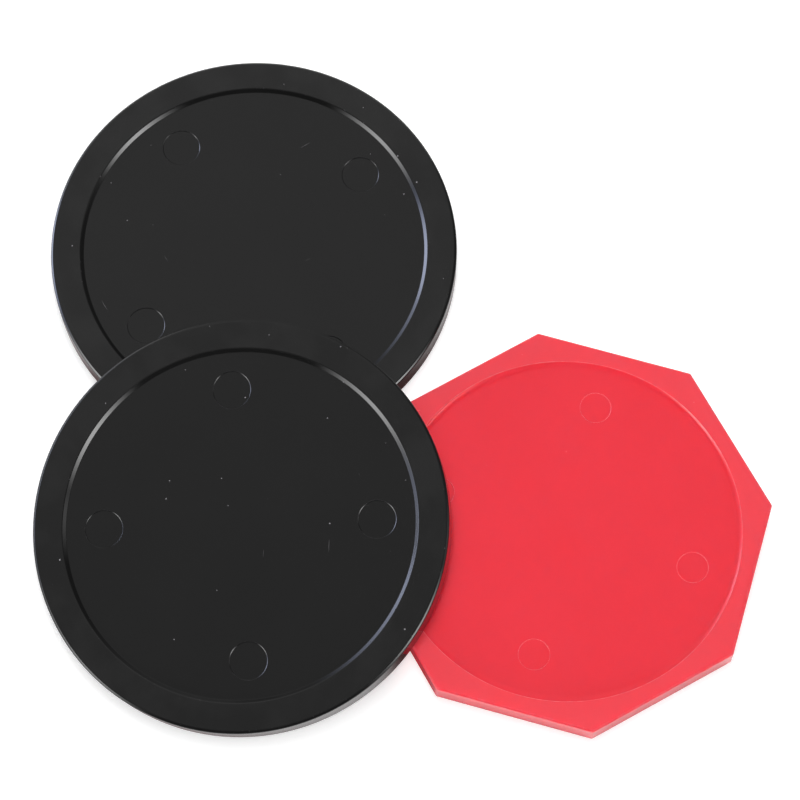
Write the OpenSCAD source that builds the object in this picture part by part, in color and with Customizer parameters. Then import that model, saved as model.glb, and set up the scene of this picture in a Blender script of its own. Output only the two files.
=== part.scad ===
// Set of three air hockey pucks: a round puck and an octagonal puck lie flat on the table, and a second
// round puck leans on their rims. Each puck is one moulding, dished on both faces inside a raised rim.

/* [All pucks] */
// Height of a puck from one rim face to the other
thickness = 6.35; // [4:0.05:10]
// Depth of the dished face below its rim
dish_depth = 0.65; // [0.3:0.05:1.2]
// Width of the sloped step between the rim and the dished face
step_run = 0.74; // [0.2:0.02:1.5]
// Radius that rounds the top of the step into the rim
step_crest = 0.4; // [0.1:0.05:0.8]
// Radius of the fillet at the foot of the step
step_root = 0.15; // [0.05:0.05:0.4]

/* [Round pucks] */
// Outside diameter
round_dia = 82.5; // [64:0.5:100]
// Radius of the rounded outer edges
round_edge = 0.6; // [0.2:0.05:1.2]
// Width of the flat rim, from the side wall to the top of the step
round_rim = 5.9; // [3:0.1:12]

/* [Octagonal puck] */
// Width across the flats
octagon_flats = 76.3; // [58:0.1:95]
// Radius of the rounded outer edges
octagon_edge = 0.5; // [0.2:0.05:1.2]
// Least width of the flat rim, at the middle of a side
octagon_rim = 3.1; // [1.5:0.1:8]

/* [Ejector pin marks] */
// Depth of a pin mark below the dished face
pin_depth = 0.1; // [0.05:0.05:0.3]
// Angle between the two marks of a close pair
pin_angle = 87; // [60:0.5:90]
// Diameter of the marks on the round pucks
round_pin_dia = 7.5; // [3:0.1:10]
// Distance of their centres from the edge of the dished face
round_pin_inset = 8.3; // [5.5:0.05:14]
// Diameter of the marks on the octagonal puck
octagon_pin_dia = 6.1; // [3:0.1:10]
// Distance of their centres from the edge of the dished face
octagon_pin_inset = 8.9; // [5.5:0.05:14]

/* [Layout on the table] */
// Direction of the octagonal puck from the flat round one, counter-clockwise from +X
octagon_bearing = -44.8; // [-60:0.1:-30]
// Least space between those two pucks
octagon_gap = 3.6; // [1:0.1:12]
// Direction that one side of the octagonal puck faces
octagon_turn = 28; // [16:0.5:38]
// Direction of the leaning puck from the flat round one
lean_bearing = -92; // [-104:0.5:-80]
// How far the leaning puck reaches over the flat round one
lean_overlap = 23.5; // [12:0.5:30]
// Clearance between the leaning puck and the rims that carry it
rest_gap = 0.1; // [0.05:0.01:0.3]
// Direction of the middle of a close pair of pin marks on the flat round puck
flat_pins_turn = 79.5; // [0:0.5:180]
// The same on the leaning puck
lean_pins_turn = 136; // [0:0.5:180]

/* [Hidden] */
$fn = 128;
plastic_black = "#26262a";
plastic_red = "#e8323c";
sides = 8;
side_angle = 360 / sides;
cut_margin = 1;

function unit(bearing) = [cos(bearing), sin(bearing)];
function pin_bearings(turn) = [
    for (half = [0, 180], side = [-pin_angle / 2, pin_angle / 2])
        turn + half + side
];

// Radii at the top of each step, and the octagonal puck's half widths
round_r = round_dia / 2;
round_dish_r = round_r - round_rim;
octagon_half = octagon_flats / 2;
octagon_dish_r = octagon_half - octagon_rim;
octagon_side = 2 * (octagon_half - octagon_edge) * tan(side_angle / 2);
octagon_corner_r = (octagon_half - octagon_edge) / cos(side_angle / 2) + octagon_edge;
octagon_pairs = [for (i = [0 : sides / 2 - 1]) octagon_turn + i * side_angle];

// Slope of the step, and how far its two roundings reach from their corners
step_angle = atan2(dish_depth, step_run);
crest_reach = step_crest * tan(step_angle / 2);
root_reach = step_root * tan(step_angle / 2);

// Plan positions, seen from the middle of the flat round puck
octagon_at = (round_r + octagon_gap + octagon_corner_r) * unit(octagon_bearing);
lean_at = (round_dia - lean_overlap) * unit(lean_bearing);

// Where the leaning puck's outline crosses the octagonal puck's nearest side
crossed_side = octagon_turn + 180;
side_distance = (octagon_at - lean_at) * unit(crossed_side) + octagon_half;
crossing = lean_at + round_r * unit(crossed_side + acos(side_distance / round_r));

// The leaning puck rests along the line from that crossing that just touches the flat round puck's rim
rest_line = -crossing;
uphill = atan2(rest_line[1], rest_line[0]) - acos(round_r / norm(rest_line));
rest_reach = (crossing - lean_at) * unit(uphill) + round_r - round_edge;
rest_rise = thickness + rest_gap - round_edge;
lean = asin(rest_rise / norm([rest_reach, round_edge])) + atan2(round_edge, rest_reach);

// Extremes of the set in plan, which put the origin at the middle of its footprint
lean_normal = [-sin(lean) * unit(uphill)[0], -sin(lean) * unit(uphill)[1], cos(lean)];
lean_edge_at = [
    for (i = [0, 1])
        lean_at[i] - (round_r - round_edge) * (1 - cos(lean)) * unit(uphill)[i]
            + (thickness - 2 * round_edge) * lean_normal[i]
];
lean_spread = [
    for (i = [0, 1])
        (round_r - round_edge) * sqrt(1 - pow(lean_normal[i], 2)) + round_edge
];
octagon_corners = [
    for (i = [0 : sides - 1])
        (octagon_corner_r - octagon_edge) * unit(octagon_turn + (i + 0.5) * side_angle)
];
octagon_spread = [
    for (i = [0, 1])
        max([for (corner = octagon_corners) corner[i]]) + octagon_edge
];
set_low = [
    for (i = [0, 1])
        min(-round_r, lean_edge_at[i] - lean_spread[i], octagon_at[i] - octagon_spread[i])
];
set_high = [
    for (i = [0, 1])
        max(round_r, lean_edge_at[i] + lean_spread[i], octagon_at[i] + octagon_spread[i])
];
set_middle = (set_low + set_high) / 2;

// Section of a slab with rounded edges, from the axis outwards
module rounded_section(half_width, edge) {
    square([half_width - edge, thickness]);
    translate([0, edge]) square([half_width, thickness - 2 * edge]);
    for (height = [edge, thickness - edge])
        translate([half_width - edge, height]) circle(edge);
}

// Round puck without its dished faces
module round_blank() {
    rotate_extrude() rounded_section(round_r, round_edge);
}

// Outline of the octagonal puck, with rounded corners
module octagon_outline() {
    for (turn = octagon_pairs)
        rotate(turn) square([octagon_flats, octagon_side], center = true);
    for (corner = octagon_corners)
        translate(corner) circle(octagon_edge);
}

// Bar with rounded edges that spans two opposite sides of the octagon
module octagon_bar() {
    rotate([90, 0, 0])
        linear_extrude(octagon_flats + 2 * cut_margin, center = true) {
            rounded_section(octagon_half, octagon_edge);
            mirror([1, 0]) rounded_section(octagon_half, octagon_edge);
        }
}

// Octagonal puck without its dished faces: the outline's prism, rounded by a bar across each pair of sides
module octagon_blank() {
    intersection() {
        linear_extrude(thickness) octagon_outline();
        intersection_for (turn = octagon_pairs)
            rotate(turn) octagon_bar();
    }
}

// Section of the space inside a rim: the dished face, the sloped step and its two roundings
module dish_section(dish_r) {
    foot = dish_r - step_run;
    difference() {
        polygon([
            [0, -dish_depth],
            [foot - root_reach, -dish_depth],
            [foot, -dish_depth] + root_reach * unit(step_angle),
            [dish_r, 0] - crest_reach * unit(step_angle),
            [dish_r + crest_reach, 0],
            [dish_r + crest_reach, cut_margin],
            [0, cut_margin]
        ]);
        translate([dish_r + crest_reach, -step_crest]) circle(step_crest);
    }
    translate([foot - root_reach, step_root - dish_depth]) circle(step_root);
}

// Space taken out of both faces
module dishes(dish_r) {
    for (face = [0, 1])
        translate([0, 0, face * thickness])
            mirror([0, 0, 1 - face])
                rotate_extrude() dish_section(dish_r);
}

// Round marks that the ejector pins leave in the upper dished face
module pin_marks(mark_dia, ring_r, bearings) {
    for (bearing = bearings)
        rotate([0, 0, bearing])
            translate([ring_r, 0, thickness - dish_depth - pin_depth])
                cylinder(d = mark_dia, h = pin_depth + dish_depth);
}

module round_puck(pins_turn) {
    difference() {
        round_blank();
        dishes(round_dish_r);
        pin_marks(round_pin_dia, round_dish_r - round_pin_inset, pin_bearings(pins_turn));
    }
}

module flat_round_puck() {
    color(plastic_black)
        translate(-set_middle) round_puck(flat_pins_turn);
}

// Tipped on its rounded bottom edge until its underside clears the two rims below it
module leaning_round_puck() {
    color(plastic_black)
        translate(lean_at - set_middle)
            rotate([0, 0, uphill])
                translate([round_edge - round_r, 0, round_edge])
                    rotate([0, -lean, 0])
                        translate([round_r - round_edge, 0, -round_edge])
                            rotate([0, 0, lean_pins_turn - uphill])
                                round_puck(0);
}

module octagonal_puck() {
    bearings = pin_bearings(octagon_turn + 2 * side_angle);
    color(plastic_red)
        translate(octagon_at - set_middle)
            difference() {
                octagon_blank();
                dishes(octagon_dish_r);
                pin_marks(octagon_pin_dia, octagon_dish_r - octagon_pin_inset, bearings);
            }
}

flat_round_puck();
leaning_round_puck();
octagonal_puck();
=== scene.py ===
"""Three moulded air hockey pucks, two round black ones and a red octagonal one, on a plain studio floor."""

import math

import bpy
from bpy.props import FloatProperty, FloatVectorProperty, PointerProperty
from mathutils import Matrix, Vector
from mathutils.geometry import delaunay_2d_cdt


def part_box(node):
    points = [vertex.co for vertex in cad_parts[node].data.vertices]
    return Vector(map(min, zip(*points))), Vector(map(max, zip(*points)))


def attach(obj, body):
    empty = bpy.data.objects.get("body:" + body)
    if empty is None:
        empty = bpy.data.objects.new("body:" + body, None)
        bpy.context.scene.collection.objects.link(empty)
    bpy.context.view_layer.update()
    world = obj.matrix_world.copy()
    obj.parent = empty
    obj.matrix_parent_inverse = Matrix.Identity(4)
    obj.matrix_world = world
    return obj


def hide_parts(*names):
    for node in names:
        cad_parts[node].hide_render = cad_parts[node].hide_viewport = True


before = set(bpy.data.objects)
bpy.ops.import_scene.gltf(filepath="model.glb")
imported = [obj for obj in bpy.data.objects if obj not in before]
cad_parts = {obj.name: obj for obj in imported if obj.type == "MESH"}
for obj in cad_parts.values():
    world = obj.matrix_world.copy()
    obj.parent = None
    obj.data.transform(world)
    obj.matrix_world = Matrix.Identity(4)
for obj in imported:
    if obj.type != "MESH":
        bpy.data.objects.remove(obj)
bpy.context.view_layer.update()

bl_info = {
    "name": "Air hockey puck set",
    "version": (1, 0, 0),
    "blender": (4, 5, 0),
    "location": "View3D > Sidebar > Pucks",
    "description": "Makes three moulded air hockey pucks and the plain studio around them",
    "category": "Object",
}

MM = 0.001
UP = Vector((0, 0, 1))
WHITE = (1, 1, 1, 1)

# Points around the loops of the mouldings, and the most that a rounded corner turns between two points
ROUND_POINTS = 288
SIDES = 8
SIDE_ANGLE = math.tau / SIDES
SIDE_POINTS = 32
CORNER_POINTS = 7
MARK_POINTS = 56
ARC_STEP = math.radians(9)

# How the flat faces are filled: only inside their outlines, and with points this near, in metres, as one
FILL_INSIDE = 1
SAME_SPOT = 1e-9

# Mesh attributes that the plastics read
WEAR = "edge_wear"
PLACE = "moulding_place"

# Wear of the edges and round steps, of the octagonal puck's step and of the lips of the pin marks,
# from 0 to 1, and the wear from which plastic is rubbed rough; on the octagonal puck the wear of its
# step and pin-mark lips also lays a pale colour that is partly rub and partly a painted highlight
EDGE_WEAR = 0.4
STEP_WEAR_AND_HIGHLIGHT = 0.65
LIP_WEAR = 1.0
RUB_START = 0.5

# Distances from a rim's face, in millimetres, at which the colour of the rims ends and is full
RIM_END = 0.2
RIM_FULL = 0.03

# Depth of the fine grain in the plastics
GRAIN_DEPTH = 0.05 * MM

# Share of a speck's radius that is solid
SPECK_CORE = 0.3

# Share of the sky that open floor sees, and how steeply the contact shadow falls off
OPEN_SKY = 0.62
CONTACT_POWER = 5

# Degrees over which the foot of a panel of light fades in, and the camera's sensor in millimetres
FOOT_BLUR = 6
SENSOR_WIDTH = 36


def box_size(node):
    low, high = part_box(node)
    return high - low


def length(name, description, default):
    return FloatProperty(
        name=name, description=description, default=default, min=0, unit="LENGTH", precision=4)


def angle(name, description, degrees):
    return FloatProperty(name=name, description=description, default=math.radians(degrees), subtype="ANGLE")


def amount(name, description, default):
    return FloatProperty(name=name, description=description, default=default, min=0, precision=3)


def colour(name, description, default):
    return FloatVectorProperty(
        name=name, description=description, default=default, subtype="COLOR", min=0, max=1)


class PuckSizes(bpy.types.PropertyGroup):
    """Sizes of the mouldings, within about a tenth of a millimetre of the solids they stand for"""

    thickness: length("Thickness", "Height from one rim face to the other", box_size("octagonal_puck").z)
    dish_depth: length("Dish depth", "Depth of the dished face below its rim", 0.65 * MM)
    round_run: length("Round step run", "Width of a round puck's sloped step", 0.74 * MM)
    round_crest: length("Round step crest", "Radius of the rounded top of that step", 0.4 * MM)
    round_root: length("Round step root", "Radius of the rounded foot of that step", 0.15 * MM)
    octagon_run: length("Octagon step run", "Width of the octagonal puck's sloped step", 0.65 * MM)
    octagon_crest: length("Octagon step crest", "Radius of the rounded top of that step", 0.2 * MM)
    octagon_root: length("Octagon step root", "Radius of the cove at the foot of that step", 1.7 * MM)
    round_dia: length("Round diameter", "Outside diameter of a round puck", box_size("flat_round_puck").x)
    edge_run: length("Edge run", "How far in the worn outer edges of a round puck reach", 0.49 * MM)
    edge_drop: length("Edge drop", "How far down those edges reach", 0.402 * MM)
    edge_shoulder: length("Edge shoulder", "Radius of the shoulders of those edges", 0.4 * MM)
    round_rim: length("Round rim", "Width of a round puck's flat rim", 5.9 * MM)
    octagon_flats: length("Octagon flats", "Width of the octagonal puck across its flats", 76.3 * MM)
    octagon_edge: length("Octagon edge", "Radius of the octagonal puck's outer edges", 0.5 * MM)
    octagon_corner: length("Octagon corner", "Radius of its upright corners", 0.6 * MM)
    octagon_rim: length("Octagon rim", "Least width of its rim, at the middle of a side", 3.2 * MM)
    octagon_turn: angle("Octagon turn", "Direction that one of its sides faces", 28)
    pin_depth: length("Pin mark depth", "Depth of an ejector pin mark", 0.1 * MM)
    pin_lip: length("Pin mark lip", "Width of the lip around an ejector pin mark", 0.125 * MM)
    round_pin_dia: length("Round pin mark", "Diameter of a mark on a round puck", 7.5 * MM)
    round_pin_ring: length("Round pin ring", "Distance of those marks from the middle", 27.05 * MM)
    pin_angle: angle("Pin mark angle", "Angle between the two marks of a close pair", 87)
    flat_pins_turn: angle("Flat puck turn", "Direction of the middle of a close pair, flat puck", 79.5)
    lean_pins_turn: angle("Leaning puck turn", "The same on the leaning puck", 136)
    octagon_pin_dia: length("Octagon pin mark", "Diameter of a mark on the octagonal puck", 6.1 * MM)
    octagon_pin_ring: length("Octagon pin ring", "Distance of those marks from the middle", 26.15 * MM)


class PuckFinishes(bpy.types.PropertyGroup):
    """Colours and surface of the two plastics"""

    black: colour("Black", "Colour of the round pucks' plastic", (0.004, 0.004, 0.004))
    black_cloud: colour("Black cloud", "Colour of faint clouds in the black plastic", (0.006, 0.006, 0.006))
    black_scuff: colour("Black scuff", "Colour of rubbed patches on the round rims", (0.010, 0.010, 0.010))
    black_dust: colour("Black dust", "Colour of dust, scratches and nicks on black", (0.30, 0.29, 0.31))
    black_hairs: amount("Black hairlines", "Strength of the hairline scratches in the black plastic", 0.3)
    black_nicks: amount("Black nicks", "Strength of the nicks in the round pucks' edges", 0.35)
    black_rub: amount("Black rub", "Strength of the rubbed patches on the round pucks' pin marks", 0.12)
    black_roughness: amount("Black roughness", "Roughness of the polished black plastic", 0.12)
    black_mark_roughness: amount("Black mark roughness", "Roughness added by dust, scratches and nicks", 0.5)
    black_lip_roughness: amount("Black lip roughness", "Roughness added on those pin marks", 0.3)
    red: colour("Red", "Colour of the octagonal puck's plastic", (0.90, 0.045, 0.075))
    red_cloud: colour("Red cloud", "Colour of the deeper clouds in the red plastic", (0.864, 0.036, 0.060))
    red_rim: colour("Red rim", "Colour of the octagonal puck's rims", (0.90, 0.072, 0.101))
    # Pale colour of specks, scratches and rub on red, also laid along the step and pin-mark lips as a
    # painted highlight
    red_nick_and_highlight: colour("Red nick", "Colour of specks, scratches and rub on red", (0.94, 0.50, 0.54))
    red_specks: amount("Red specks", "Strength of the pale specks in the red plastic", 0.8)
    red_scratches: amount("Red scratches", "Strength of the short scratches in the red plastic", 0.6)
    red_edge_rub: amount("Red edge rub", "Strength of the rubbed patches on the octagonal puck's edges", 0.2)
    # Strengths of the pale colour on the pin-mark lips and step, which is partly rub and partly a painted
    # highlight
    red_lip_rub_and_highlight: amount("Red lip rub", "Strength of the rub on the octagonal puck's pin marks and step", 0.5)
    red_lip_patches_and_highlight: amount("Red lip patches", "Strength added in patches on those marks and that step", 0.3)
    red_roughness: amount("Red roughness", "Roughness of the satin red plastic", 0.18)
    red_lip_roughness: amount("Red lip roughness", "Roughness added on those marks and that step", 0.2)
    red_depth: length("Red depth", "How far light travels inside the red plastic", 3 * MM)
    red_spread: colour("Red spread", "Share of that depth for each colour of light", (1, 0.15, 0.15))


class PuckStudio(bpy.types.PropertyGroup):
    """Camera, floor and lights"""

    lens: FloatProperty(name="Lens", description="Focal length in millimetres", default=152.2, min=10)
    camera_elevation: angle("Camera elevation", "Height of the camera above the floor, as an angle", 71.594)
    camera_roll: angle("Camera roll", "Turn of the camera about its own line of sight", -1.242)
    camera_distance: length("Camera distance", "From the camera to the point it looks at", 683.16 * MM)
    camera_target: FloatVectorProperty(
        name="Camera target", description="Point that the camera looks at",
        default=(-0.103 * MM, -0.79 * MM, 0), unit="LENGTH", precision=5)
    floor_size: length("Floor size", "Width of the white paper that the pucks lie on", 0.8)
    floor_front: length("Floor front", "How far that paper reaches towards the camera", 0.15)
    floor_white: colour("Floor white", "Colour of the floor under the lights", (0.74, 0.74, 0.74))
    floor_glow: amount("Floor glow", "Brightness added to the floor where the camera sees it", 0.5)
    floor_mirrored: amount("Floor mirrored", "Brightness of the open floor in reflections", 1.0)
    contact_tone: colour("Contact tone", "Colour of the contact shadow in reflections", (0.10, 0.03, 0.03))
    contact_reach: length("Contact reach", "Width of that shadow", 0.03)
    strip_width: length("Strip width", "Width of the softbox above the pucks", 0.5)
    strip_length: length("Strip length", "Length of that softbox, from front to back", 1.2)
    side_width: length("Side width", "Width of the low softboxes around the pucks", 1)
    side_height: length("Side height", "Height of those softboxes", 0.6)
    lamp_distance: length("Lamp distance", "Distance of the softboxes from the pucks", 1.25)
    strip_light: amount("Strip light", "Brightness of the softbox above the pucks", 7.65)
    front_light: amount("Front light", "Brightness of the lowest softbox, in front", 9.5)
    right_fill: amount("Right fill", "Brightness of the low softbox on the right", 2.0)
    back_light: amount("Back light", "Brightness of the low softbox behind", 2.4)
    room_dark: amount("Room, dark side", "Brightness of the room behind the camera", 0.07)
    room_light: amount("Room, light side", "Brightness of the room above and behind the pucks", 0.52)
    window_tone: colour("Window tone", "Colour of the window on the left", (0.68, 0.75, 1))
    window_light: amount("Window light", "Brightness of the window", 8.0)
    left_light: amount("Left light", "Brightness of the white panel on the left", 6.6)
    right_light: amount("Right light", "Brightness of the white panel on the right", 8.2)
    far_right_light: amount("Far right light", "Brightness of that panel's dim far end", 1.0)
    above_light: amount("Above light", "Brightness of the ceiling above the front of the set", 0.13)


# Sections and skins of the mouldings


def unit(bearing):
    return Vector((math.cos(bearing), math.sin(bearing)))


def even_bearings(count):
    return [math.tau * index / count for index in range(count)]


def fillet(before, corner, after, radius):
    """Points of the arc that rounds a corner of a section, each with the outward normal there."""
    way_in = (corner - before).normalized()
    way_out = (after - corner).normalized()
    turn = way_in.angle_signed(way_out)
    side = math.copysign(1, turn)
    reach = radius * math.tan(abs(turn) / 2)
    steps = max(2, math.ceil(abs(turn) / ARC_STEP))
    start_normal = Vector((-way_in.y, way_in.x))
    centre = corner - way_in * reach - start_normal * radius * side
    arc = []
    for step in range(steps + 1):
        normal = start_normal.copy()
        normal.rotate(Matrix.Rotation(-turn * step / steps, 2))
        arc.append((centre + normal * radius * side, normal))
    return arc


def section(corners):
    """Rounds the (distance out, height, radius, wear) corners of a section between its two end points.

    Returns (point, normal, wear) for each point of the arcs.
    """
    spots = [Vector(corner[:2]) for corner in corners]
    line = []
    for index in range(1, len(corners) - 1):
        radius, wear = corners[index][2:]
        arc = fillet(*spots[index - 1:index + 2], radius)
        inner = [wear] * (len(arc) - 2)
        line += [(*spot, worn) for spot, worn in zip(arc, [0, *inner, 0])]
    return line


def step_corners(sizes, dish_r, run, crest, root, wear):
    """Corners of the step from the dished face up to the rim."""
    floor = sizes.thickness - sizes.dish_depth
    return [
        (0, floor, 0, 0),
        (dish_r - run, floor, root, 0),
        (dish_r, sizes.thickness, crest, wear),
    ]


def upside_down(corners, thickness):
    return [(out, thickness - height, radius, wear) for out, height, radius, wear in reversed(corners)]


class Skin:
    """Points, normals, wear and faces of one moulding, built loop by loop."""

    def __init__(self):
        self.points = []
        self.normals = []
        self.wear = []
        self.faces = []

    def loop(self, ring, wear):
        """Adds a closed loop of (point, normal) pairs and returns the numbers of its points."""
        first = len(self.points)
        for point, normal in ring:
            self.points.append(point)
            self.normals.append(normal)
            self.wear.append(wear)
        return list(range(first, len(self.points)))

    def bridge(self, loops):
        """Joins each loop to the next one along the section, with the faces outwards."""
        for inner, outer in zip(loops, loops[1:]):
            for index in range(len(inner)):
                after = (index + 1) % len(inner)
                self.faces.append((inner[index], outer[index], outer[after], inner[after]))

    def fill(self, outer, holes=(), upwards=True):
        """Fills a flat loop with triangles, apart from the loops of its round holes."""
        numbers = list(outer)
        for hole in holes:
            numbers += hole
        flat = [self.points[number].xy for number in numbers]
        edges = []
        start = 0
        for ring in (outer, *holes):
            edges += [(start + i, start + (i + 1) % len(ring)) for i in range(len(ring))]
            start += len(ring)
        spots, _, triangles, sources, _, _ = delaunay_2d_cdt(flat, edges, [], FILL_INSIDE, SAME_SPOT)
        discs = []
        for hole in holes:
            middle = sum((self.points[number].xy for number in hole), Vector((0, 0))) / len(hole)
            discs.append((middle, (self.points[hole[0]].xy - middle).length))
        for triangle in triangles:
            centre = sum((spots[corner] for corner in triangle), Vector((0, 0))) / len(triangle)
            if any((centre - middle).length < reach for middle, reach in discs):
                continue
            face = [numbers[sources[corner][0]] for corner in triangle]
            self.faces.append(face if upwards else face[::-1])

    def piece(self, name, material, place, node, body, slot):
        """Makes the object, puts it where its solid is and lets it stand for that solid."""
        mesh = bpy.data.meshes.new(name)
        mesh.from_pydata([place @ point for point in self.points], [], self.faces)
        mesh.shade_smooth()
        turn = place.to_3x3()
        mesh.normals_split_custom_set_from_vertices([turn @ normal for normal in self.normals])
        wear = mesh.attributes.new(WEAR, "FLOAT", "POINT")
        wear.data.foreach_set("value", self.wear)
        spots = mesh.attributes.new(PLACE, "FLOAT_VECTOR", "POINT")
        shift = place.translation.xy.to_3d()
        spots.data.foreach_set("vector", [value / MM for point in self.points for value in point + shift])
        mesh.materials.append(material)
        if mesh.validate():
            raise RuntimeError(f"{name} has faulty faces")
        piece = bpy.data.objects.new(name, mesh)
        bpy.context.scene.collection.objects.link(piece)
        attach(piece, body)
        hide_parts(node)


def loop_point(spot, out, height, normal):
    """Point of a loop, with its section's (outward, upward) normal turned to face out."""
    return Vector((*spot, height)), Vector((*(out * normal.x), normal.y))


def circle(radius, height, normal, bearings, middle=Vector((0, 0))):
    """Loop of a section that is turned about an axis."""
    ring = []
    for bearing in bearings:
        out = unit(bearing)
        ring.append(loop_point(middle + out * radius, out, height, normal))
    return ring


def turned_loops(skin, line, bearings, middle=Vector((0, 0))):
    """Adds a section's loops to a skin, turned about an axis."""
    return [skin.loop(circle(spot.x, spot.y, normal, bearings, middle), wear) for spot, normal, wear in line]


def pin_mark(skin, sizes, middle, diameter):
    """Sinks one ejector pin mark into the dished face and returns the loop where it starts."""
    floor = sizes.thickness - sizes.dish_depth
    low = floor - sizes.pin_depth
    edge = diameter / 2
    lip = sizes.pin_lip
    sunk = section([
        (0, low, 0, 0),
        (edge - lip / 2, low, lip / 2, 0),
        (edge + lip / 2, floor, lip / 2, LIP_WEAR),
        (edge + lip, floor, 0, 0),
    ])
    loops = turned_loops(skin, sunk, even_bearings(MARK_POINTS), middle)
    skin.fill(loops[0])
    skin.bridge(loops)
    return loops[-1]


def pin_marks(skin, sizes, diameter, ring_r, turn):
    """Sinks two close pairs of marks, opposite each other, and returns the loops where they start."""
    close = sizes.pin_angle / 2
    loops = []
    for bearing in (turn - close, turn + close, turn + math.pi - close, turn + math.pi + close):
        loops.append(pin_mark(skin, sizes, unit(bearing) * ring_r, diameter))
    return loops


def round_skin(sizes):
    """Skin of a round puck: one section turned about the axis, and two dished faces."""
    skin = Skin()
    edge_r = sizes.round_dia / 2
    dish_r = edge_r - sizes.round_rim
    upper = step_corners(sizes, dish_r, sizes.round_run, sizes.round_crest, sizes.round_root, EDGE_WEAR)
    upper.append((edge_r - sizes.edge_run, sizes.thickness, sizes.edge_shoulder, EDGE_WEAR))
    upper.append((edge_r, sizes.thickness - sizes.edge_drop, sizes.edge_shoulder, EDGE_WEAR))
    line = section(upper + upside_down(upper, sizes.thickness))
    loops = turned_loops(skin, line, even_bearings(ROUND_POINTS))
    skin.bridge(loops)
    marks = pin_marks(skin, sizes, sizes.round_pin_dia, sizes.round_pin_ring, 0)
    skin.fill(loops[0], marks)
    skin.fill(loops[-1], upwards=False)
    return skin


def octagon_outline(sizes, inset):
    """Outline of the octagon drawn in by an inset: (point, outward direction) pairs."""
    half = sizes.octagon_flats / 2
    corner_r = sizes.octagon_corner
    reach = (half - corner_r) * math.tan(SIDE_ANGLE / 2)
    spread = math.atan2(reach, half)
    ring = []
    for side in range(SIDES):
        facing = side * SIDE_ANGLE
        out = unit(facing)
        along = Vector((-out.y, out.x))
        for index in range(SIDE_POINTS):
            bearing = spread * (2 * index / SIDE_POINTS - 1)
            shift = half * math.tan(bearing)
            ring.append((out * (half - inset) + along * shift, out))
        centre = out * (half - corner_r) + along * reach
        for index in range(CORNER_POINTS):
            towards = unit(facing + SIDE_ANGLE * index / CORNER_POINTS)
            ring.append((centre + towards * (corner_r - inset), towards))
    return ring


def octagon_loop(sizes, inset, height, normal):
    """Loop of the octagon's outline where its section has this inset, height and normal."""
    return [loop_point(point, out, height, normal) for point, out in octagon_outline(sizes, inset)]


def turned_over(ring, thickness):
    """Loop of the underside that matches one of the upper side."""
    return [(Vector((p.x, p.y, thickness - p.z)), Vector((n.x, n.y, -n.z))) for p, n in ring]


def octagon_skin(sizes):
    """Skin of the octagonal puck: round steps inside, eight flat sides outside."""
    skin = Skin()
    top = sizes.thickness
    half = sizes.octagon_flats / 2
    edge = sizes.octagon_edge
    dish_r = half - sizes.octagon_rim
    # The wear of this step also lays a pale painted highlight along it
    step = step_corners(
        sizes, dish_r, sizes.octagon_run, sizes.octagon_crest, sizes.octagon_root, STEP_WEAR_AND_HIGHLIGHT)
    step_line = section(step + [(half, top, 0, 0)])
    wall_line = section([
        (0, top, 0, 0),
        (half, top, edge, EDGE_WEAR),
        (half, 0, edge, EDGE_WEAR),
        (0, 0, 0, 0),
    ])
    bearings = [math.atan2(point.y, point.x) for point, _ in octagon_outline(sizes, edge)]
    upper = [(circle(spot.x, spot.y, normal, bearings), wear) for spot, normal, wear in step_line]
    wall = [(octagon_loop(sizes, half - spot.x, spot.y, normal), wear) for spot, normal, wear in wall_line]
    under = [(turned_over(ring, top), wear) for ring, wear in reversed(upper)]
    loops = [skin.loop(ring, wear) for ring, wear in upper + wall + under]
    skin.bridge(loops)
    marks = pin_marks(skin, sizes, sizes.octagon_pin_dia, sizes.octagon_pin_ring, 2 * SIDE_ANGLE)
    skin.fill(loops[0], marks)
    skin.fill(loops[-1], upwards=False)
    return skin


def seat(node, turn):
    """Place of a puck whose solid may lean: the foot of its axis, with the moulding turned about it."""
    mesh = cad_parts[node].data
    axis = max(mesh.polygons, key=lambda face: face.area).normal.copy()
    if axis.z < 0:
        axis.negate()
    upright = UP.rotation_difference(axis).to_matrix()
    spots = [upright.transposed() @ vertex.co for vertex in mesh.vertices]
    middle = [(min(spot[i] for spot in spots) + max(spot[i] for spot in spots)) / 2 for i in (0, 1)]
    foot = upright @ Vector((*middle, min(spot.z for spot in spots)))
    return Matrix.Translation(foot) @ upright.to_4x4() @ Matrix.Rotation(turn, 4, "Z")


# Shader maths


class Wire:
    """A node's output that Python arithmetic works on."""

    def __init__(self, graph, socket):
        self.graph = graph
        self.socket = socket

    def __add__(self, other):
        return self.graph.maths("ADD", self, other)

    def __radd__(self, other):
        return self.graph.maths("ADD", other, self)

    def __sub__(self, other):
        return self.graph.maths("SUBTRACT", self, other)

    def __rsub__(self, other):
        return self.graph.maths("SUBTRACT", other, self)

    def __mul__(self, other):
        return self.graph.maths("MULTIPLY", self, other)

    def __rmul__(self, other):
        return self.graph.maths("MULTIPLY", other, self)

    def __truediv__(self, other):
        return self.graph.maths("DIVIDE", self, other)

    def __rtruediv__(self, other):
        return self.graph.maths("DIVIDE", other, self)

    def __lt__(self, other):
        return self.graph.maths("LESS_THAN", self, other)

    def __gt__(self, other):
        return self.graph.maths("GREATER_THAN", self, other)


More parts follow.
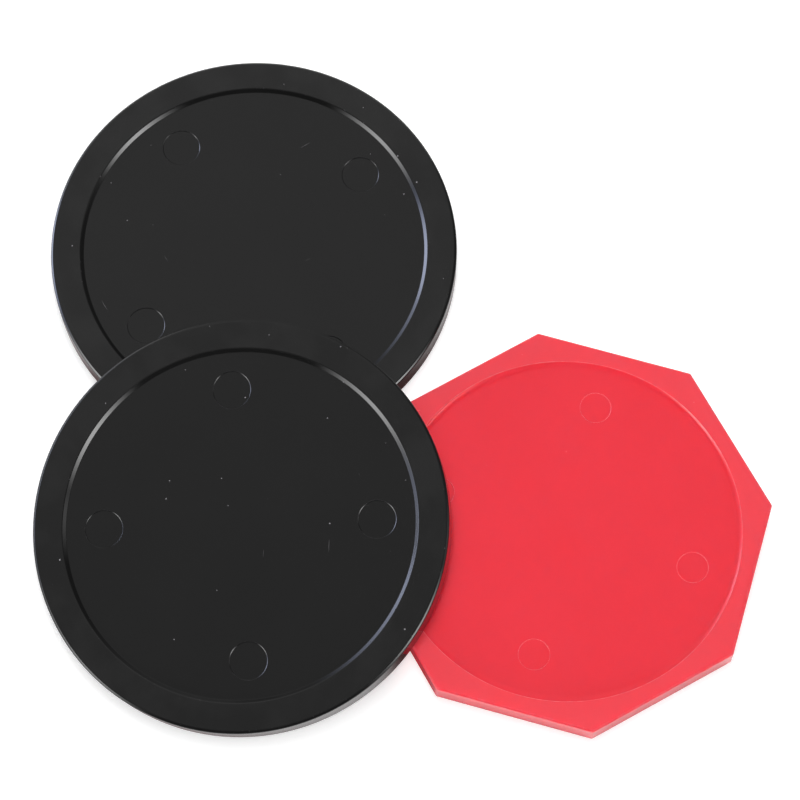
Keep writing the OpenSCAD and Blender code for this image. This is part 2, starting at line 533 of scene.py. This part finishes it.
class Graph:
    """The nodes of one material or world."""

    def __init__(self, tree):
        self.tree = tree
        tree.nodes.clear()

    def node(self, kind, settings=None, inputs=None, output=0):
        """Adds a node, sets its settings, then the values or links of its sockets."""
        made = self.tree.nodes.new(kind)
        for name, value in (settings or {}).items():
            setattr(made, name, value)
        for name, value in (inputs or {}).items():
            if isinstance(value, Wire):
                self.tree.links.new(value.socket, made.inputs[name])
            else:
                made.inputs[name].default_value = value
        return Wire(self, made.outputs[output]) if made.outputs else made

    def maths(self, operation, *values):
        return self.node("ShaderNodeMath", {"operation": operation}, dict(enumerate(values)))

    def most(self, first, *others):
        """The largest of some values."""
        for other in others:
            first = self.maths("MAXIMUM", first, other)
        return first

    def ramp(self, value, low, high, start=0, end=1):
        """Eases a value that goes from low to high into one that goes from start to end."""
        inputs = {"Value": value, "From Min": low, "From Max": high, "To Min": start, "To Max": end}
        return self.node("ShaderNodeMapRange", {"interpolation_type": "SMOOTHSTEP"}, inputs)

    def towards(self, way, goal):
        """How far a direction points to a goal, from -1 to 1."""
        return self.node("ShaderNodeVectorMath", {"operation": "DOT_PRODUCT"}, {0: way, 1: goal}, "Value")

    def mix(self, factor, under, over):
        """Mixes two colours."""
        return self.node("ShaderNodeMix", {"data_type": "RGBA"}, {0: factor, 6: under, 7: over}, 2)

    def blend(self, factor, first, second):
        """Mixes two shaders."""
        return self.node("ShaderNodeMixShader", None, {0: factor, 1: first, 2: second})

    def ray(self, kind):
        """1 for rays of this kind, 0 for others."""
        return self.node("ShaderNodeLightPath", output=kind)

    def place(self):
        """Place on the moulding in millimetres, shifted so that no two pucks wear alike."""
        return self.node("ShaderNodeAttribute", {"attribute_name": PLACE}, None, "Vector")

    def wear(self):
        """How worn a spot is: 0 away from the edges, 1 on the lips of the pin marks."""
        return self.node("ShaderNodeAttribute", {"attribute_name": WEAR}, None, "Fac")

    def rims(self, place, thickness):
        """Mask of the two flat rims, the highest and lowest faces of a moulding."""
        height = self.node("ShaderNodeSeparateXYZ", None, {0: place}, "Z")
        half = thickness / MM / 2
        off = self.maths("ABSOLUTE", height - half)
        return self.ramp(off, half - RIM_END, half - RIM_FULL)

    def noise(self, place, size, detail):
        """Noise whose features are about size millimetres across."""
        inputs = {"Vector": place, "Scale": 1 / size, "Detail": detail}
        return self.node("ShaderNodeTexNoise", None, inputs, "Fac")

    def patches(self, place):
        """Mask of the small patches in which edges are rubbed."""
        return self.ramp(self.noise(place, size=1.6, detail=3), low=0.35, high=0.65)

    def specks(self, place, spacing, size, share, dimensions="3D"):
        """Mask of small round specks: one in each of a share of the cells that are spacing wide."""
        settings = {"voronoi_dimensions": dimensions}
        inputs = {"Vector": place, "Scale": 1 / spacing}
        cell = self.node("ShaderNodeTexVoronoi", settings, inputs, "Color")
        distance = self.node("ShaderNodeTexVoronoi", settings, inputs, "Distance")
        pick = self.node("ShaderNodeSeparateColor", None, {"Color": cell}, "Red")
        swell = self.node("ShaderNodeSeparateColor", None, {"Color": cell}, "Green")
        radius = size * (0.5 + swell)
        return self.ramp(distance * spacing, radius, SPECK_CORE * radius) * (pick < share)

    def scratches(self, place, bearing, spacing, size, share, stretch):
        """Mask of straight hairlines along one bearing, in degrees."""
        inputs = {"Vector": place, "Rotation": (0, 0, math.radians(bearing)), "Scale": (stretch, 1, 1)}
        squeezed = self.node("ShaderNodeMapping", {"vector_type": "TEXTURE"}, inputs)
        return self.specks(squeezed, spacing, size, share, "2D")


def varied(value, share):
    """Factor that strays from 1 by this share either way as a value goes from 0 to 1."""
    return 1 - share + 2 * share * value


def opaque(tone):
    return (*tone, 1)


# Plastics


def new_material(name):
    material = bpy.data.materials.new(name)
    material.use_nodes = True
    return material, Graph(material.node_tree)


def plastic_surface(graph, tint, roughness, grain, grain_strength, others):
    """Joins a plastic's colour, roughness, grain and other sockets into its surface."""
    bump = graph.node("ShaderNodeBump", None, {
        "Strength": grain_strength,
        "Distance": GRAIN_DEPTH,
        "Height": grain,
    })
    shader = graph.node("ShaderNodeBsdfPrincipled", None, {
        "Base Color": tint,
        "Roughness": roughness,
        "Normal": bump,
        **others,
    })
    graph.node("ShaderNodeOutputMaterial", None, {"Surface": shader})


def black_plastic(finishes, thickness):
    """Polished black moulding: faint clouds, dust, hairlines, bright nicks on its edges and scuffed rims."""
    material, graph = new_material("black_plastic")
    place = graph.place()
    wear = graph.wear()
    rubbed = graph.ramp(wear, RUB_START, LIP_WEAR)
    clouds = graph.noise(place, size=14, detail=3)
    peel = graph.noise(place, size=0.9, detail=2)
    dust = graph.specks(place, spacing=2.5, size=0.15, share=0.25)
    hairs = graph.scratches(place, bearing=130, spacing=9, size=0.05, share=0.35, stretch=25)
    crossing = graph.scratches(place, bearing=40, spacing=11, size=0.05, share=0.35, stretch=25)
    nicks = graph.ramp(graph.noise(place, size=0.7, detail=3), low=0.66, high=0.72) * wear
    scuffs = graph.ramp(graph.noise(place, size=9, detail=4), low=0.4, high=0.65, start=0.2)
    worn = finishes.black_nicks * nicks + finishes.black_rub * (graph.patches(place) * rubbed)
    marks = graph.most(dust, finishes.black_hairs * (hairs + crossing), worn)
    clouded = graph.mix(clouds, opaque(finishes.black), opaque(finishes.black_cloud))
    scuffed = graph.mix(graph.rims(place, thickness) * scuffs, clouded, opaque(finishes.black_scuff))
    marked = graph.mix(marks, scuffed, opaque(finishes.black_dust))
    polish = finishes.black_roughness * varied(clouds, share=0.2)
    roughness = polish + finishes.black_mark_roughness * marks + finishes.black_lip_roughness * rubbed
    plastic_surface(graph, marked, roughness, grain=peel, grain_strength=0.02, others={"IOR": 1.55})
    return material


def red_plastic(finishes, thickness):
    """Satin translucent red moulding with a fine grain, pale specks, scratches, paler rubbed edges and a
    pale painted highlight along its step and pin-mark lips.
    """
    material, graph = new_material("red_plastic")
    place = graph.place()
    wear = graph.wear()
    rubbed = graph.ramp(wear, RUB_START, LIP_WEAR)
    patches = graph.patches(place)
    clouds = graph.noise(place, size=16, detail=3)
    grain = graph.noise(place, size=0.35, detail=3)
    specks = graph.specks(place, spacing=2.5, size=0.12, share=0.15)
    scratches = graph.scratches(place, bearing=-25, spacing=11, size=0.08, share=0.4, stretch=9)
    # Pale colour on the pin-mark lips and the step: partly real rub, partly a painted highlight
    lips = rubbed * (finishes.red_lip_rub_and_highlight + finishes.red_lip_patches_and_highlight * patches)
    worn = finishes.red_edge_rub * wear * patches + lips
    # The pale colour goes on specks, scratches and rub, and as the painted highlight on the step and lips
    marks = graph.most(finishes.red_specks * specks, finishes.red_scratches * scratches, worn)
    clouded = graph.mix(clouds, opaque(finishes.red_cloud), opaque(finishes.red))
    rimmed = graph.mix(graph.rims(place, thickness), clouded, opaque(finishes.red_rim))
    marked = graph.mix(marks, rimmed, opaque(finishes.red_nick_and_highlight))
    satin = finishes.red_roughness * varied(clouds, share=0.1)
    roughness = satin + finishes.red_lip_roughness * rubbed
    plastic_surface(graph, marked, roughness, grain=grain, grain_strength=0.08, others={
        "IOR": 1.5,
        "Subsurface Weight": 1,
        "Subsurface Radius": tuple(finishes.red_spread),
        "Subsurface Scale": finishes.red_depth,
    })
    return material


# Stage


def heading(bearing, elevation):
    """Unit vector with this bearing, counter-clockwise from +X, and this elevation, both in degrees."""
    rise = math.radians(elevation)
    flat = unit(math.radians(bearing)) * math.cos(rise)
    return Vector((*flat, math.sin(rise)))


def aimed(way, spot):
    """Placement at a spot that turns local +Z along a direction."""
    return Matrix.Translation(spot) @ way.to_track_quat("Z", "Y").to_matrix().to_4x4()


def floor_paper(studio):
    """White paper that glows a little to the camera and shows a contact shadow to reflections."""
    material, graph = new_material("floor_paper")
    paper = graph.node("ShaderNodeBsdfDiffuse", None, {"Color": opaque(studio.floor_white)})
    glow = graph.node("ShaderNodeEmission", None, {"Strength": studio.floor_glow})
    bright = graph.node("ShaderNodeAddShader", None, {0: paper, 1: glow})
    lit = graph.blend(graph.ray("Is Camera Ray"), paper, bright)
    sky = graph.node("ShaderNodeAmbientOcclusion", None, {"Distance": studio.contact_reach}, "AO")
    clear = graph.maths("MINIMUM", graph.maths("POWER", sky / OPEN_SKY, CONTACT_POWER), 1)
    shade = graph.node("ShaderNodeEmission", None, {"Color": opaque(studio.contact_tone)})
    plain = graph.node("ShaderNodeEmission", None, {"Strength": studio.floor_mirrored})
    mirrored = graph.blend(clear, shade, plain)
    reflected = graph.ray("Is Glossy Ray") + graph.ray("Is Transmission Ray")
    graph.node("ShaderNodeOutputMaterial", None, {"Surface": graph.blend(reflected, lit, mirrored)})
    return material


def make_floor(studio):
    half = studio.floor_size / 2
    near = -studio.floor_front
    far = near + studio.floor_size
    corners = [(-half, near, 0), (half, near, 0), (half, far, 0), (-half, far, 0)]
    mesh = bpy.data.meshes.new("floor")
    mesh.from_pydata(corners, [], [range(len(corners))])
    mesh.materials.append(floor_paper(studio))
    floor = bpy.data.objects.new("floor", mesh)
    bpy.context.scene.collection.objects.link(floor)


def panel(graph, way, bearing, spread, foot, knee, fade):
    """Mask of a soft panel of light, full from its foot to its knee and fading above; angles in degrees."""
    ahead = graph.towards(way, heading(bearing, 0))
    across = graph.towards(way, heading(bearing + 90, 0))
    off = graph.maths("DEGREES", graph.maths("ABSOLUTE", graph.maths("ARCTAN2", across, ahead)))
    rise = graph.maths("DEGREES", graph.maths("ARCSINE", graph.towards(way, UP)))
    fading = graph.maths("MINIMUM", graph.maths("EXPONENT", (knee - rise) / fade), 1)
    return graph.ramp(off, spread, 0) * graph.ramp(rise, foot - FOOT_BLUR, foot) * fading


def make_room(studio):
    """Dim room, two white panels and a window, which only reflections show; the camera sees plain white."""
    world = bpy.data.worlds.new("room")
    bpy.context.scene.world = world
    world.use_nodes = True
    world.cycles_visibility.diffuse = False
    graph = Graph(world.node_tree)
    way = graph.node("ShaderNodeTexCoord", output="Generated")
    behind = graph.towards(way, heading(bearing=110, elevation=45))
    above = graph.towards(way, heading(bearing=-90, elevation=62))
    strength = graph.ramp(behind, low=0.45, high=1.05, start=studio.room_dark, end=studio.room_light)
    strength += graph.ramp(above, low=0.85, high=1, start=0, end=studio.above_light)
    right = panel(graph, way, bearing=-34, spread=28, foot=24, knee=28, fade=1.5)
    far_right = panel(graph, way, bearing=2, spread=20, foot=25.5, knee=28, fade=1.5)
    left = panel(graph, way, bearing=204, spread=28, foot=3, knee=24, fade=3)
    window = panel(graph, way, bearing=157, spread=40, foot=1, knee=10, fade=4)
    strength += studio.right_light * right
    strength += studio.far_right_light * far_right
    strength += studio.left_light * left
    walls = graph.node("ShaderNodeBackground", None, {"Color": WHITE, "Strength": strength})
    daylight = graph.node("ShaderNodeBackground", None, {
        "Color": opaque(studio.window_tone),
        "Strength": studio.window_light * window,
    })
    room = graph.node("ShaderNodeAddShader", None, {0: walls, 1: daylight})
    white = graph.node("ShaderNodeBackground", None, {"Color": WHITE, "Strength": 1})
    seen = graph.blend(graph.ray("Is Camera Ray"), room, white)
    graph.node("ShaderNodeOutputWorld", None, {"Surface": seen})


def softbox(name, way, distance, width, height, light):
    """Softbox that faces the pucks and lights them without showing in their polish."""
    lamp = bpy.data.lights.new(name, "AREA")
    lamp.shape = "RECTANGLE"
    lamp.size = width
    lamp.size_y = height
    lamp.energy = light * math.pi * width * height
    box = bpy.data.objects.new(name, lamp)
    bpy.context.scene.collection.objects.link(box)
    box.matrix_world = aimed(way, way * distance)
    box.visible_glossy = False


def make_lamps(studio):
    distance = studio.lamp_distance
    softbox("strip_softbox", UP, distance, studio.strip_width, studio.strip_length, studio.strip_light)
    front = heading(bearing=-108, elevation=9)
    right = heading(bearing=0, elevation=18)
    back = heading(bearing=95, elevation=20)
    sides = {
        "front_softbox": (front, studio.side_height / 2, studio.front_light),
        "right_softbox": (right, studio.side_height, studio.right_fill),
        "back_softbox": (back, studio.side_height, studio.back_light),
    }
    for name, (way, height, light) in sides.items():
        softbox(name, way, distance, studio.side_width, height, light)


def make_camera(studio):
    lens = bpy.data.cameras.new("camera")
    lens.lens = studio.lens
    lens.sensor_width = SENSOR_WIDTH
    camera = bpy.data.objects.new("camera", lens)
    bpy.context.scene.collection.objects.link(camera)
    way = heading(-90, math.degrees(studio.camera_elevation))
    spot = Vector(studio.camera_target) + way * studio.camera_distance
    camera.matrix_world = aimed(way, spot) @ Matrix.Rotation(studio.camera_roll, 4, "Z")
    bpy.context.scene.camera = camera


# Operators and panel


class PUCKS_OT_round(bpy.types.Operator):
    """Make the two round black pucks where their solids are"""

    bl_idname = "pucks.round"
    bl_label = "Round pucks"

    def execute(self, context):
        sizes = context.scene.puck_sizes
        plastic = black_plastic(context.scene.puck_finishes, sizes.thickness)
        turns = {
            "flat_round_puck": sizes.flat_pins_turn,
            "leaning_round_puck": sizes.lean_pins_turn,
        }
        for node, turn in turns.items():
            place = seat(node, turn)
            round_skin(sizes).piece(node + "_moulding", plastic, place, node, node, "black_plastic")
        return {"FINISHED"}


class PUCKS_OT_octagonal(bpy.types.Operator):
    """Make the red octagonal puck where its solid is"""

    bl_idname = "pucks.octagonal"
    bl_label = "Octagonal puck"

    def execute(self, context):
        sizes = context.scene.puck_sizes
        plastic = red_plastic(context.scene.puck_finishes, sizes.thickness)
        node = "octagonal_puck"
        place = seat(node, sizes.octagon_turn)
        octagon_skin(sizes).piece(node + "_moulding", plastic, place, node, node, "red_plastic")
        return {"FINISHED"}


class PUCKS_OT_stage(bpy.types.Operator):
    """Set up the floor, the room, the softboxes and the camera"""

    bl_idname = "pucks.stage"
    bl_label = "Stage"

    def execute(self, context):
        studio = context.scene.puck_studio
        context.scene.view_settings.view_transform = "Standard"
        make_floor(studio)
        make_room(studio)
        make_lamps(studio)
        make_camera(studio)
        return {"FINISHED"}


class PUCKS_PT_panel(bpy.types.Panel):
    """The steps that make the set, with the values they use"""

    bl_label = "Air hockey pucks"
    bl_idname = "PUCKS_PT_panel"
    bl_space_type = "VIEW_3D"
    bl_region_type = "UI"
    bl_category = "Pucks"

    def draw(self, context):
        for group, steps in PANEL_STEPS.items():
            box = self.layout.box()
            for step in steps:
                box.operator(step)
            values = getattr(context.scene, group)
            for name in values.__annotations__:
                box.prop(values, name)


PANEL_STEPS = {
    "puck_sizes": ("pucks.round", "pucks.octagonal"),
    "puck_finishes": (),
    "puck_studio": ("pucks.stage",),
}
GROUPS = {"puck_sizes": PuckSizes, "puck_finishes": PuckFinishes, "puck_studio": PuckStudio}
CLASSES = (*GROUPS.values(), PUCKS_OT_round, PUCKS_OT_octagonal, PUCKS_OT_stage, PUCKS_PT_panel)


def register():
    for kind in CLASSES:
        bpy.utils.register_class(kind)
    for name, group in GROUPS.items():
        setattr(bpy.types.Scene, name, PointerProperty(type=group))


def unregister():
    for name in GROUPS:
        delattr(bpy.types.Scene, name)
    for kind in reversed(CLASSES):
        bpy.utils.unregister_class(kind)


def main():
    register()
    bpy.ops.pucks.round()
    bpy.ops.pucks.octagonal()
    bpy.ops.pucks.stage()


if __name__ == "__main__":
    main()
